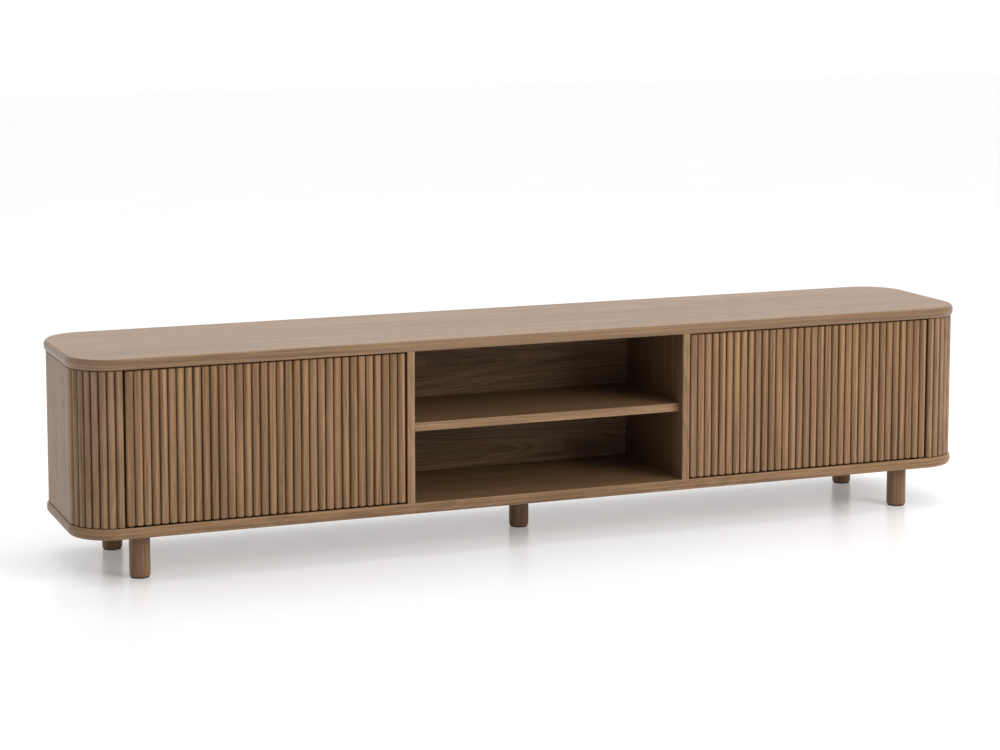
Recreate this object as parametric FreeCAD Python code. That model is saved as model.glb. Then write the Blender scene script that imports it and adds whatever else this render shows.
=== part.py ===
"""Low media cabinet with two fluted doors and an open middle bay.

Row frame, in millimetres: +X to the right seen from the front, +Y to the back, +Z up.
The origin is on the floor, under the middle of the cabinet. The doors face -Y.
Each node is written to parts/NODE.step. The left half is drawn, and its mirror image is the right half.
"""
import math
import os

import FreeCAD, Part

Vector = FreeCAD.Vector

# ---- driving dimensions ----
LENGTH = 2000.0
DEPTH = 376.0
LEG_HEIGHT = 92.0
BOARD = 22.0                 # top and bottom panels
CLEAR_HEIGHT = 314.0         # between the two panels
CORNER = 90.0                # corner radius of the top and bottom panels, in plan
RIM_ARC = 13.5               # radius of the arched rim, seen in section
RIM_OUTER = 10.5             # height of the arc towards a panel's outer face
RIM_INNER = 9.0              # height of the arc towards the face that the body stands against
OVERHANG = 4.0               # panels stand this far outside the body
REVEAL = (2.0, 4.5)          # height and depth of the shadow groove between the body and a panel

FLUTE_COUNT = 34             # flutes across one door
FLUTE_RISE = 6.0             # valley to crest
CORNER_FLUTES = 7
DOOR_OUTER = 899.0           # door edges, measured from the middle of the cabinet
DOOR_INNER = 321.0
DOOR_GAP = 3.0
DOOR_THICK = 25.0
DOOR_CORE = 16.0             # flat board behind the slats
SLAT_GAP = 0.4

DIVIDER = 16.0
SIDE = 18.0                  # inner sides, outer sides and rear corners
COLUMN_WALL = 22.0           # fluted front corner, crest to inside
SHELF = 18.0
SHELF_UNDER = 258.5          # height of the underside of every shelf
SHELF_SLACK = 1.0
SHELF_REAR_GAP = 3.0         # behind the shelves of the side bays
CENTRE_SHELF_SETBACK = 20.0
SIDE_SHELF_SETBACK = 39.0
CENTRE_BACK_FRONT = 106.0    # front face of the recessed middle back panel
CENTRE_BACK = 8.0
BACK_GROOVE = 4.0
BACK_PANEL = 6.0
REAR_PLANE = 159.0           # rear edges of the dividers and inner sides

LEG_RADIUS = 21.0
LEG_ROUND = 2.5
LEG_X = 862.0
LEG_Y = 124.0
GLIDE_RADIUS = 18.5
GLIDE_THICK = 3.0
SPIGOT_RADIUS = 3.0          # push-in stem of a glide
SPIGOT_LENGTH = 10.0
BOLT_RADIUS = 4.0
BOLT_IN_LEG = 35.0
INSERT_RADIUS = 6.0
INSERT_LENGTH = 16.0

PIVOT_SIZE = 2.5             # radius of the door pins
PIVOT_RUN = 0.05             # radial running clearance in the bush
BUSH_RADIUS = 4.5
BUSH_LENGTH = 12.0
PIN_SHORT = 2.0              # a pin ends this far inside its bush
PLATE = (44.0, 15.0, 2.0)    # length, width and thickness of a pivot plate
PLATE_PROUD = 0.3            # it is let in all but this
WASHER_RADIUS = 6.0
WASHER_CLEAR = 0.3           # between the washer and the door
PIN_TO_DOOR_EDGE = 9.0       # pivot axis behind the crests of the flutes

LATCH = (19.0, 62.0, 14.0)   # width, length and height of a latch housing
LATCH_AXIS = 12.0            # its plunger's axis from the divider
LATCH_FRONT = -138.0
LATCH_UNDER = 402.0
LATCH_WALL = 2.0
LATCH_ROUND = 2.5
LATCH_FLANGE = (2.5, 12.0)   # thickness and height of its screw flange
PLUNGER_RADIUS = 4.0
PLUNGER_RUN = 0.3            # radial clearance in the housing
PLUNGER_NECK = 20.0          # shoulder for the spring, behind the housing's mouth
TAIL_RADIUS = 2.0
TAIL_LENGTH = 12.0
MAGNET_THICK = 3.0
STRIKE_RADIUS = 7.0
STRIKE_THICK = 1.2
LATCH_CLEAR = 0.3
SPRING_WIRE = 0.45
SPRING_RADIUS = 3.2
SPRING_TURNS = 9

ARRIS = 1.2                  # rounding of the front edges of dividers and shelves

PIN_RADIUS = 2.5             # shelf pins
PIN_HALF = 7.0
PIN_Y = (-105.0, 75.0)
PIN_PITCH = 32.0
CAM_RADIUS = 7.5
CAM_DEPTH = 12.5
CAM_IN = 34.0                # cam centre from the edge of the board
CAM_BOLT_RADIUS = 3.5
FIX_DEPTH = 12.0             # fixings in the top and bottom panels
FIX_Y = (-148.0, 124.0)
CAM_SLOT_RUN = 0.3
CAM_CROSS = (8.0, 1.6, 2.0)  # length, width and depth of the screwdriver cross
DOWEL_RADIUS = 4.0
DOWEL_HALF = 18.0
DOWEL_OFFSET = 32.0
SIDE_DOWEL_Y = (-60.0, 60.0)

# countersunk screws: head radius, shank radius, head height, whole length
PLATE_SCREW = (3.6, 1.75, 2.0, 14.0)
PLATE_SCREW_X = (16.0, 30.0)  # from the pivot axis
LATCH_SCREW = (2.6, 1.5, 1.6, 12.0)
LATCH_SCREW_Y = (34.0, 52.0)  # from the front of the housing
STRIKE_SCREW = (2.6, 1.4, 1.2, 12.0)
# pan-head screws of the back panels: head radius, shank radius, head height, shank length
BACK_SCREW = (3.6, 1.75, 2.0, 20.0)
BACK_SCREW_IN = 30.0         # from the top and bottom panels
BACK_SCREW_EDGE = 4.0        # from the bay's faces of the two boards they go into

CABLE_RADIUS = 30.0          # holes in the back panels
GROMMET_BORE = 27.0
GROMMET_FLANGE = 34.0
GROMMET_LIP = 2.0
CABLE_IN = 50.0              # hole centre from the bay's wall

# ---- levels and planes worked out from them ----
DECK = LEG_HEIGHT + BOARD
CEILING = DECK + CLEAR_HEIGHT
TOP = CEILING + BOARD
BODY_X = LENGTH / 2 - OVERHANG
BODY_Y = DEPTH / 2 - OVERHANG
BODY_CORNER = CORNER - OVERHANG
ARC_X = BODY_X - BODY_CORNER          # centre of a body corner, in plan
ARC_Y = BODY_Y - BODY_CORNER
COLUMN_EDGE = DOOR_OUTER + DOOR_GAP
BAY_WALL = DOOR_INNER - DOOR_GAP      # outer face of a divider
CENTRE_WALL = BAY_WALL - DIVIDER      # inner face of a divider
FLUTE = (DOOR_OUTER - DOOR_INNER) / FLUTE_COUNT
DOOR_LOW = DECK + DOOR_GAP
DOOR_HIGH = CEILING - DOOR_GAP
LOW_PLATE = DECK + PLATE_PROUD        # faces of the pivot plates
HIGH_PLATE = CEILING - PLATE_PROUD
VALLEY_Y = -BODY_Y + FLUTE_RISE
CORE_FRONT = -BODY_Y + DOOR_THICK - DOOR_CORE
DOOR_BACK = -BODY_Y + DOOR_THICK
PIVOT_X = -DOOR_OUTER + FLUTE / 2
PIVOT_Y = -BODY_Y + PIN_TO_DOOR_EDGE
LATCH_X = -BAY_WALL - LATCH_AXIS
LATCH_Z = LATCH_UNDER + LATCH[2] / 2
PLUNGER_TIP = DOOR_BACK + STRIKE_THICK + LATCH_CLEAR
PIN_Z = SHELF_UNDER - PIN_RADIUS
CAM_LEVELS = (DECK + CAM_IN, CEILING - CAM_IN)


# ---- small drawing tools ----
def box(x0, x1, y0, y1, z0, z1):
    return Part.makeBox(x1 - x0, y1 - y0, z1 - z0, Vector(x0, y0, z0))


def board(x0, x1, y0, y1, z0, z1):
    """A flat board with the sharp edges of its front taken off."""
    blank = box(x0, x1, y0, y1, z0, z1)
    front = [e for e in blank.Edges if all(abs(v.Y - y0) < 0.01 for v in e.Vertexes)]
    upright = (z1 - z0) > (x1 - x0)
    eased = [e for e in front if (abs(e.Vertexes[0].Z - e.Vertexes[1].Z) > 0.01) == upright]
    return blank.makeFillet(ARRIS, eased)


def rod(start, end, radius):
    """A round bar between two points."""
    axis = end - start
    return Part.makeCylinder(radius, axis.Length, start, axis)


def upright_rod(x, y, z0, z1, radius):
    return rod(Vector(x, y, z0), Vector(x, y, z1), radius)


def extrude_outline(edges, z0, z1):
    face = Part.Face(Part.Wire(edges))
    face.translate(Vector(0, 0, z0))
    return face.extrude(Vector(0, 0, z1 - z0))


def line(a, b):
    return Part.LineSegment(a, b).toShape()


def arc(a, middle, b):
    return Part.Arc(a, middle, b).toShape()


def mirrored(shape):
    """The same piece on the other half of the cabinet."""
    return shape.mirror(Vector(0, 0, 0), Vector(1, 0, 0))


def group(solids):
    return Part.makeCompound(solids)


def countersunk(seat, into, sizes):
    """A flat-headed screw. seat is the middle of its head's face, and into points down the hole."""
    head_radius, shank_radius, head_height, length = sizes
    head = Part.makeCone(head_radius, shank_radius, head_height, seat, into)
    shank = rod(seat + into * head_height, seat + into * length, shank_radius)
    return head.fuse(shank).removeSplitter()


def both_halves(solids):
    return group(list(solids) + [mirrored(s) for s in solids])


# ---- fixings, listed once and used for the pieces and for their holes ----
def leg_places():
    corners = [(sx * LEG_X, sy * LEG_Y) for sx in (-1, 1) for sy in (-1, 1)]
    return corners + [(0.0, 0.0)]


def upright_fixings():
    """Plan positions (x, y) of the cam bolts of the left half."""
    lines = (-BAY_WALL + DIVIDER / 2, -COLUMN_EDGE - SIDE / 2)
    return [(x, y) for x in lines for y in FIX_Y]


def dowel_places():
    """Plan positions of the wooden dowels of the left half."""
    inner = [(x, y - math.copysign(DOWEL_OFFSET, y)) for x, y in upright_fixings()]
    outer = [(-BODY_X + SIDE / 2, y) for y in SIDE_DOWEL_Y]
    reach = (BODY_CORNER - COLUMN_WALL / 2 - FLUTE_RISE / 2) / math.sqrt(2)
    corner = [(-ARC_X - reach, sy * (ARC_Y + reach)) for sy in (-1, 1)]
    return inner + outer + corner


def dowels():
    solids = []
    for x, y in dowel_places():
        solids.append(upright_rod(x, y, DECK - FIX_DEPTH, DECK + DOWEL_HALF, DOWEL_RADIUS))
        solids.append(upright_rod(x, y, CEILING - DOWEL_HALF, CEILING + FIX_DEPTH, DOWEL_RADIUS))
    return solids


def cam_bolts():
    reach = CAM_IN + CAM_BOLT_RADIUS
    solids = []
    for x, y in upright_fixings():
        solids.append(upright_rod(x, y, DECK - FIX_DEPTH, DECK + reach, CAM_BOLT_RADIUS))
        solids.append(upright_rod(x, y, CEILING - reach, CEILING + FIX_DEPTH, CAM_BOLT_RADIUS))
    return solids


def cam_seats():
    """(face, inward, y, z) of each cam of the left half: the board's face and the way into the board."""
    seats = []
    for x, y in upright_fixings():
        face, inward = (-BAY_WALL, 1.0) if x > -BAY_WALL else (-COLUMN_EDGE, -1.0)
        seats += [(face, inward, y, z) for z in CAM_LEVELS]
    return seats


def cam_recesses():
    """Round pockets that open into the side bay, one for each cam bolt of the left half."""
    return [
        rod(Vector(face, y, z), Vector(face + inward * CAM_DEPTH, y, z), CAM_RADIUS)
        for face, inward, y, z in cam_seats()
    ]


def cam_locks():
    """Cams that pull the bolts tight: a disc with a slot for the bolt and a screwdriver cross."""
    slots = [upright_rod(x, y, DECK, CEILING, CAM_BOLT_RADIUS + CAM_SLOT_RUN) for x, y in upright_fixings()]
    half_long, half_wide, deep = CAM_CROSS[0] / 2, CAM_CROSS[1] / 2, CAM_CROSS[2]
    crosses = []
    for face, inward, y, z in cam_seats():
        ends = sorted((face, face + inward * deep))
        crosses.append(box(*ends, y - half_long, y + half_long, z - half_wide, z + half_wide))
        crosses.append(box(*ends, y - half_wide, y + half_wide, z - half_long, z + half_long))
    return [pocket.cut(slots + crosses) for pocket in cam_recesses()]


def shelf_pins(wall, direction):
    """Two pins in the wall at x = wall, pointing into the bay in the given direction."""
    return [
        rod(Vector(wall - direction * PIN_HALF, y, PIN_Z),
            Vector(wall + direction * PIN_HALF, y, PIN_Z), PIN_RADIUS)
        for y in PIN_Y
    ]


def spare_pin_holes(wall, direction):
    """The rest of each row of shelf holes, above and below the holes in use."""
    holes = []
    for step in (-2, -1, 1, 2):
        for y in PIN_Y:
            z = PIN_Z + step * PIN_PITCH
            holes.append(rod(Vector(wall, y, z), Vector(wall - direction * PIN_HALF, y, z), PIN_RADIUS))
    return holes


def insert_holes():
    top = LEG_HEIGHT + INSERT_LENGTH
    return [upright_rod(x, y, LEG_HEIGHT, top, INSERT_RADIUS) for x, y in leg_places()]


def leg_bolts():
    low, high = LEG_HEIGHT - BOLT_IN_LEG, LEG_HEIGHT + INSERT_LENGTH
    return [upright_rod(x, y, low, high, BOLT_RADIUS) for x, y in leg_places()]


def leg_inserts():
    return [hole.cut(leg_bolts()) for hole in insert_holes()]


def pivot_plate(z0):
    """Flat steel plate let into a panel, its underside at z0. It runs from the pin towards the middle."""
    length, width, thick = PLATE
    start = PIVOT_X - width / 2
    return box(start, start + length, PIVOT_Y - width / 2, PIVOT_Y + width / 2, z0, z0 + thick)


def pivot_screws():
    """Screws of the lower and the upper plate, their heads flush with it."""
    return [
        countersunk(Vector(PIVOT_X + along, PIVOT_Y, face), Vector(0, 0, into), PLATE_SCREW)
        for along in PLATE_SCREW_X for face, into in ((LOW_PLATE, -1.0), (HIGH_PLATE, 1.0))
    ]


# ---- the two rounded panels ----
def rim_section(reach, z0, outer):
    """Section of a panel from its middle to its rim, drawn in the XZ plane.

    The rim is a short flat band with an arc above and below it. Each arc leaves the panel's face at an edge.
    """
    tall_above = RIM_OUTER if outer > z0 else RIM_INNER
    tall_below = RIM_INNER if outer > z0 else RIM_OUTER
    z1 = z0 + BOARD

    def inset(tall):
        return RIM_ARC - math.sqrt(RIM_ARC ** 2 - tall ** 2)

    def rim_arc(level, tall, side):
        turn = math.asin(tall / RIM_ARC) / 2
        middle = Vector(reach - RIM_ARC * (1 - math.cos(turn)), 0, level + side * RIM_ARC * math.sin(turn))
        end = Vector(reach - inset(tall), 0, level + side * tall)
        return arc(Vector(reach, 0, level), middle, end), end

    above, top_edge = rim_arc(z1 - tall_above, tall_above, 1)
    below, low_edge = rim_arc(z0 + tall_below, tall_below, -1)
    edges = [
        line(Vector(0, 0, z0), low_edge), below,
        line(Vector(reach, 0, z0 + tall_below), Vector(reach, 0, z1 - tall_above)), above,
        line(top_edge, Vector(0, 0, z1)), line(Vector(0, 0, z1), Vector(0, 0, z0)),
    ]
    return Part.Face(Part.Wire(Part.__sortEdges__(edges)))


def rounded_panel(z0, outer):
    """A flat board with round plan corners and an arched rim. outer is the level of its outer face."""
    flat_x, flat_y = LENGTH / 2 - CORNER, DEPTH / 2 - CORNER
    up = Vector(0, 0, 1)
    corner = rim_section(CORNER, z0, outer).revolve(Vector(0, 0, 0), up, 90)
    end = rim_section(CORNER, z0, outer).extrude(Vector(0, 2 * flat_y, 0))
    front = rim_section(DEPTH / 2, z0, outer)
    front.rotate(Vector(0, 0, 0), up, -90)
    front.translate(Vector(-flat_x, 0, 0))
    front_half = front.extrude(Vector(2 * flat_x, 0, 0))
    pieces = [front_half]
    for turn, sx, sy in ((0, 1, 1), (90, -1, 1), (180, -1, -1), (270, 1, -1)):
        quarter = corner.copy()
        quarter.rotate(Vector(0, 0, 0), up, turn)
        quarter.translate(Vector(sx * flat_x, sy * flat_y, 0))
        pieces.append(quarter)
    rear_half = front_half.copy()
    rear_half.rotate(Vector(0, 0, 0), up, 180)
    pieces.append(rear_half)
    for turn, sx in ((0, 1), (180, -1)):
        strip = end.copy()
        strip.translate(Vector(0, -flat_y, 0))
        strip.rotate(Vector(0, 0, 0), up, turn)
        strip.translate(Vector(sx * flat_x, 0, 0))
        pieces.append(strip)
    return pieces[0].multiFuse(pieces[1:]).removeSplitter()


def panel_fixing_holes():
    left = dowels() + cam_bolts() + pivot_screws()
    return left + [mirrored(s) for s in left]


def top_panel():
    plate = pivot_plate(HIGH_PLATE)
    blank = rounded_panel(CEILING, TOP)
    return blank.cut(panel_fixing_holes() + [plate, mirrored(plate)])


def bottom_panel():
    plate = pivot_plate(LOW_PLATE - PLATE[2])
    blank = rounded_panel(LEG_HEIGHT, LEG_HEIGHT)
    return blank.cut(panel_fixing_holes() + [plate, mirrored(plate)] + insert_holes())


# ---- uprights of the left half ----
def divider():
    blank = board(-BAY_WALL, -CENTRE_WALL, -BODY_Y, REAR_PLANE, DECK, CEILING)
    groove = box(-CENTRE_WALL - BACK_GROOVE, -CENTRE_WALL, CENTRE_BACK_FRONT, CENTRE_BACK_FRONT + CENTRE_BACK,
                 DECK, CEILING)
    pins = shelf_pins(-BAY_WALL, -1) + shelf_pins(-CENTRE_WALL, 1)
    spare = spare_pin_holes(-BAY_WALL, -1)
    screws = latch_screws() + back_screws()
    return blank.cut([groove] + dowels() + cam_bolts() + cam_recesses() + pins + spare + screws)


def inner_side():
    """Flat board that closes the side bay beside the fluted corner, and carries its shelf."""
    blank = box(-COLUMN_EDGE - SIDE, -COLUMN_EDGE, -BODY_Y + COLUMN_WALL, REAR_PLANE, DECK, CEILING)
    pins = shelf_pins(-COLUMN_EDGE, 1)
    spare = spare_pin_holes(-COLUMN_EDGE, 1)
    return blank.cut(dowels() + cam_bolts() + cam_recesses() + pins + spare + back_screws())


def rounded_plan(grow, z0, z1):
    """An upright block with the body's plan outline, grown or shrunk all round."""
    half_x, half_y = BODY_X + grow, BODY_Y + grow
    blank = box(-half_x, half_x, -half_y, half_y, z0, z1)
    uprights = [e for e in blank.Edges if abs(e.Vertexes[0].Z - e.Vertexes[1].Z) > 0.01]
    return blank.makeFillet(BODY_CORNER + grow, uprights)


def reveals():
    """The two shadow grooves that run round the outside of the body, at the top and the bottom panel."""
    tall, deep = REVEAL
    spans = ((DECK, DECK + tall), (CEILING - tall, CEILING))
    return [rounded_plan(1.0, low, high).cut(rounded_plan(-deep, low, high)) for low, high in spans]


def side_panel():
    return box(-BODY_X, -BODY_X + SIDE, -ARC_Y, ARC_Y, DECK, CEILING).cut(dowels() + reveals())


def corner_point(run, inset):
    """A point of the front corner's outline. run is measured along the outside from the door gap."""
    straight = ARC_X - COLUMN_EDGE
    if run <= straight:
        return Vector(-COLUMN_EDGE - run, -BODY_Y + inset, 0)
    angle = (run - straight) / BODY_CORNER
    radius = BODY_CORNER - inset
    return Vector(-ARC_X - radius * math.sin(angle), -ARC_Y - radius * math.cos(angle), 0)


def front_corner():
    """Quarter-round corner post with flutes of the door's pitch, smooth where it meets the side."""
    edges = []
    for i in range(CORNER_FLUTES):
        low, high = i * FLUTE, (i + 1) * FLUTE
        edges.append(arc(corner_point(low, FLUTE_RISE), corner_point((low + high) / 2, 0),
                         corner_point(high, FLUTE_RISE)))
    end = CORNER_FLUTES * FLUTE
    lead = end + FLUTE / 2
    total = (ARC_X - COLUMN_EDGE) + BODY_CORNER * math.pi / 2
    edges.append(arc(corner_point(end, FLUTE_RISE), corner_point(end + FLUTE / 8, FLUTE_RISE / 3),
                     corner_point(lead, 0)))
    edges.append(arc(corner_point(lead, 0), corner_point((lead + total) / 2, 0), corner_point(total, 0)))
    inner = BODY_CORNER - COLUMN_WALL
    side_inside = Vector(-ARC_X - inner, -ARC_Y, 0)
    middle = Vector(-ARC_X - inner / math.sqrt(2), -ARC_Y - inner / math.sqrt(2), 0)
    front_inside = Vector(-ARC_X, -ARC_Y - inner, 0)
    gap_inside = Vector(-COLUMN_EDGE, -ARC_Y - inner, 0)
    edges.append(line(corner_point(total, 0), side_inside))
    edges.append(arc(side_inside, middle, front_inside))
    edges.append(line(front_inside, gap_inside))
    edges.append(line(gap_inside, corner_point(0, FLUTE_RISE)))
    post = extrude_outline(edges, DECK, CEILING)
    upright = box(-COLUMN_EDGE - SIDE, -COLUMN_EDGE, -BODY_Y + COLUMN_WALL, 0, DECK, CEILING)
    return post.cut([upright] + dowels() + reveals())


def rear_corner():
    """Smooth quarter-round corner between the side and the back."""
    outer = upright_rod(-ARC_X, ARC_Y, DECK, CEILING, BODY_CORNER)
    hollow = upright_rod(-ARC_X, ARC_Y, DECK, CEILING, BODY_CORNER - SIDE)
    quarter = box(-BODY_X, -ARC_X, ARC_Y, BODY_Y, DECK, CEILING)
    return outer.cut(hollow).common(quarter).cut(dowels() + reveals())


# ---- backs and shelves ----
def back_screw_places():
    """(x, z) of the screws through the left back panel into the inner side and the divider."""
    lines = (-COLUMN_EDGE - BACK_SCREW_EDGE, -BAY_WALL + BACK_SCREW_EDGE)
    levels = (DECK + BACK_SCREW_IN, (DECK + CEILING) / 2, CEILING - BACK_SCREW_IN)
    return [(x, z) for x in lines for z in levels]


def back_screws():
    rear = REAR_PLANE + BACK_PANEL
    head_radius, shank_radius, head_height, length = BACK_SCREW
    solids = []
    for x, z in back_screw_places():
        head = rod(Vector(x, rear, z), Vector(x, rear + head_height, z), head_radius)
        shank = rod(Vector(x, rear - length, z), Vector(x, rear, z), shank_radius)
        solids.append(head.fuse(shank).removeSplitter())
    return solids


def cable_places():
    """(x, y, z, thickness) of the cable holes: y is the front face of the panel."""
    side_x = -BAY_WALL - CABLE_IN
    centre_x = -CENTRE_WALL + CABLE_IN
    below = (DECK + SHELF_UNDER) / 2
    above = (SHELF_UNDER + SHELF + CEILING) / 2
    return {
        "left": [(side_x, REAR_PLANE, above, BACK_PANEL)],
        "right": [(-side_x, REAR_PLANE, above, BACK_PANEL)],
        "centre": [(centre_x, CENTRE_BACK_FRONT, z, CENTRE_BACK) for z in (below, above)],
    }


def cable_holes(bay):
    return [
        rod(Vector(x, y, z), Vector(x, y + thick, z), CABLE_RADIUS)
        for x, y, z, thick in cable_places()[bay]
    ]


def cable_grommets():
    """Plastic rings that line the cable holes, each with a lip on the front face."""
    solids = []
    for places in cable_places().values():
        for x, y, z, thick in places:
            sleeve = rod(Vector(x, y - GROMMET_LIP, z), Vector(x, y + thick, z), CABLE_RADIUS)
            lip = rod(Vector(x, y - GROMMET_LIP, z), Vector(x, y, z), GROMMET_FLANGE)
            bore = rod(Vector(x, y - GROMMET_LIP, z), Vector(x, y + thick, z), GROMMET_BORE)
            solids.append(sleeve.fuse(lip).cut(bore).removeSplitter())
    return solids


def side_back_panel(bay):
    blank = box(-COLUMN_EDGE - SIDE + SHELF_SLACK, -BAY_WALL + DIVIDER / 2,
                REAR_PLANE, REAR_PLANE + BACK_PANEL, DECK, CEILING)
    drilled = blank.cut(back_screws())
    drilled = drilled if bay == "left" else mirrored(drilled)
    return drilled.cut(cable_holes(bay))


def centre_back_panel():
    half = CENTRE_WALL + BACK_GROOVE
    blank = box(-half, half, CENTRE_BACK_FRONT, CENTRE_BACK_FRONT + CENTRE_BACK, DECK, CEILING)
    return blank.cut(cable_holes("centre"))


def centre_shelf():
    half = CENTRE_WALL - SHELF_SLACK
    return board(-half, half, -BODY_Y + CENTRE_SHELF_SETBACK, CENTRE_BACK_FRONT - SHELF_SLACK,
                 SHELF_UNDER, SHELF_UNDER + SHELF)


def side_shelf():
    return board(-COLUMN_EDGE + SHELF_SLACK, -BAY_WALL - SHELF_SLACK, -BODY_Y + SIDE_SHELF_SETBACK,
                 REAR_PLANE - SHELF_REAR_GAP, SHELF_UNDER, SHELF_UNDER + SHELF)


# ---- legs ----
def glide_spigot(x, y):
    return upright_rod(x, y, GLIDE_THICK, GLIDE_THICK + SPIGOT_LENGTH, SPIGOT_RADIUS)


def leg(x, y):
    blank = upright_rod(x, y, GLIDE_THICK, LEG_HEIGHT, LEG_RADIUS)
    foot = [e for e in blank.Edges if abs(e.BoundBox.ZMax - GLIDE_THICK) < 0.01]
    turned = blank.makeFillet(LEG_ROUND, foot)
    bolt = upright_rod(x, y, LEG_HEIGHT - BOLT_IN_LEG, LEG_HEIGHT, BOLT_RADIUS)
    return turned.cut([bolt, glide_spigot(x, y)])


def foot_glides():
    solids = []
    for x, y in leg_places():
        disc = upright_rod(x, y, 0, GLIDE_THICK, GLIDE_RADIUS)
        solids.append(disc.fuse(glide_spigot(x, y)).removeSplitter())
    return solids


# ---- left door ----
def fluted_bar(x0, x1, back):
    """A full-height bar, flat behind and round in front, between x0 and x1."""
    middle = (x0 + x1) / 2
    edges = [
        line(Vector(x0, back, 0), Vector(x0, VALLEY_Y, 0)),
        arc(Vector(x0, VALLEY_Y, 0), Vector(middle, -BODY_Y, 0), Vector(x1, VALLEY_Y, 0)),
        line(Vector(x1, VALLEY_Y, 0), Vector(x1, back, 0)),
        line(Vector(x1, back, 0), Vector(x0, back, 0)),
    ]
    return extrude_outline(edges, DOOR_LOW, DOOR_HIGH)


def door_slats():
    """Glued half-round slats, side by side on the door's flat board."""
    first = -DOOR_OUTER + FLUTE
    return [
        fluted_bar(first + i * FLUTE + SLAT_GAP / 2, first + (i + 1) * FLUTE - SLAT_GAP / 2, CORE_FRONT)
        for i in range(FLUTE_COUNT - 2)
    ]


def door_core():
    return box(-DOOR_OUTER + FLUTE, -DOOR_INNER - FLUTE, CORE_FRONT, DOOR_BACK, DOOR_LOW, DOOR_HIGH)


def bush_spans():
    """Lower and upper ends of the two bushes in the hinge stile."""
    return ((DOOR_LOW, DOOR_LOW + BUSH_LENGTH), (DOOR_HIGH - BUSH_LENGTH, DOOR_HIGH))


def hinge_stile():
    """Solid end strip of the door that takes the two pivot bushes. Its front is the first flute."""
    strip = fluted_bar(-DOOR_OUTER, -DOOR_OUTER + FLUTE, DOOR_BACK)
    return strip.cut([upright_rod(PIVOT_X, PIVOT_Y, low, high, BUSH_RADIUS) for low, high in bush_spans()])


def meeting_stile():
    """Solid end strip at the divider. The strike plate's screw goes into it."""
    return fluted_bar(-DOOR_INNER - FLUTE, -DOOR_INNER, DOOR_BACK).cut(strike_screw())


def door_bushes():
    return [
        upright_rod(PIVOT_X, PIVOT_Y, low, high, BUSH_RADIUS).cut(
            upright_rod(PIVOT_X, PIVOT_Y, low, high, PIVOT_SIZE + PIVOT_RUN))
        for low, high in bush_spans()
    ]


def strike_screw():
    """Screw that holds the strike plate on the door's back."""
    return countersunk(Vector(LATCH_X, DOOR_BACK + STRIKE_THICK, LATCH_Z), Vector(0, -1, 0), STRIKE_SCREW)


def strike_plate():
    face = Vector(LATCH_X, DOOR_BACK, LATCH_Z)
    return rod(face, face + Vector(0, STRIKE_THICK, 0), STRIKE_RADIUS).cut(strike_screw())


# ---- pivots and push latch of the left door ----
def pivot_pins():
    reach = BUSH_LENGTH - PIN_SHORT
    return [
        upright_rod(PIVOT_X, PIVOT_Y, LOW_PLATE - PLATE[2], DOOR_LOW + reach, PIVOT_SIZE),
        upright_rod(PIVOT_X, PIVOT_Y, DOOR_HIGH - reach, HIGH_PLATE + PLATE[2], PIVOT_SIZE),
    ]


def pivot_plates():
    plates = [pivot_plate(LOW_PLATE - PLATE[2]), pivot_plate(HIGH_PLATE)]
    return [plate.cut(pivot_pins() + pivot_screws()) for plate in plates]


def thrust_washer():
    disc = upright_rod(PIVOT_X, PIVOT_Y, LOW_PLATE, DOOR_LOW - WASHER_CLEAR, WASHER_RADIUS)
    return disc.cut(pivot_pins())


def latch_housing():
    """Plastic case screwed to the divider: a blind bore for the plunger and its spring."""
    width, length, height = LATCH
    flange_thick, flange_height = LATCH_FLANGE
    outer = -BAY_WALL - width
    blank = box(outer, -BAY_WALL, LATCH_FRONT, LATCH_FRONT + length, LATCH_UNDER, LATCH_UNDER + height)
    case = blank.makeFillet(LATCH_ROUND, [
        e for e in blank.Edges
        if all(abs(v.X - outer) < 0.01 for v in e.Vertexes) and abs(e.BoundBox.YLength - length) < 0.01
    ])
    flange = box(-BAY_WALL - flange_thick, -BAY_WALL, LATCH_FRONT, LATCH_FRONT + length,
                 LATCH_UNDER - flange_height, LATCH_UNDER)
    bore = latch_rod(0, length - LATCH_WALL, PLUNGER_RADIUS + PLUNGER_RUN)
    return case.fuse(flange).removeSplitter().cut([bore] + latch_screws())


def latch_rod(start, end, radius):
    """A round bar on the latch's axis. start and end are distances behind the housing's mouth."""
    mouth = Vector(LATCH_X, LATCH_FRONT, LATCH_Z)
    return rod(mouth + Vector(0, start, 0), mouth + Vector(0, end, 0), radius)


def latch_screws():
    flange_thick, flange_height = LATCH_FLANGE
    z = LATCH_UNDER - flange_height / 2
    return [
        countersunk(Vector(-BAY_WALL - flange_thick, LATCH_FRONT + along, z), Vector(1, 0, 0), LATCH_SCREW)
        for along in LATCH_SCREW_Y
    ]


def latch_plunger():
    """Round plunger with a thinner tail for the spring."""
    head = latch_rod(PLUNGER_TIP + MAGNET_THICK - LATCH_FRONT, PLUNGER_NECK, PLUNGER_RADIUS)
    tail = latch_rod(PLUNGER_NECK, PLUNGER_NECK + TAIL_LENGTH, TAIL_RADIUS)
    return head.fuse(tail).removeSplitter()


def plunger_magnet():
    tip = PLUNGER_TIP - LATCH_FRONT
    return latch_rod(tip, tip + MAGNET_THICK, PLUNGER_RADIUS)


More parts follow.
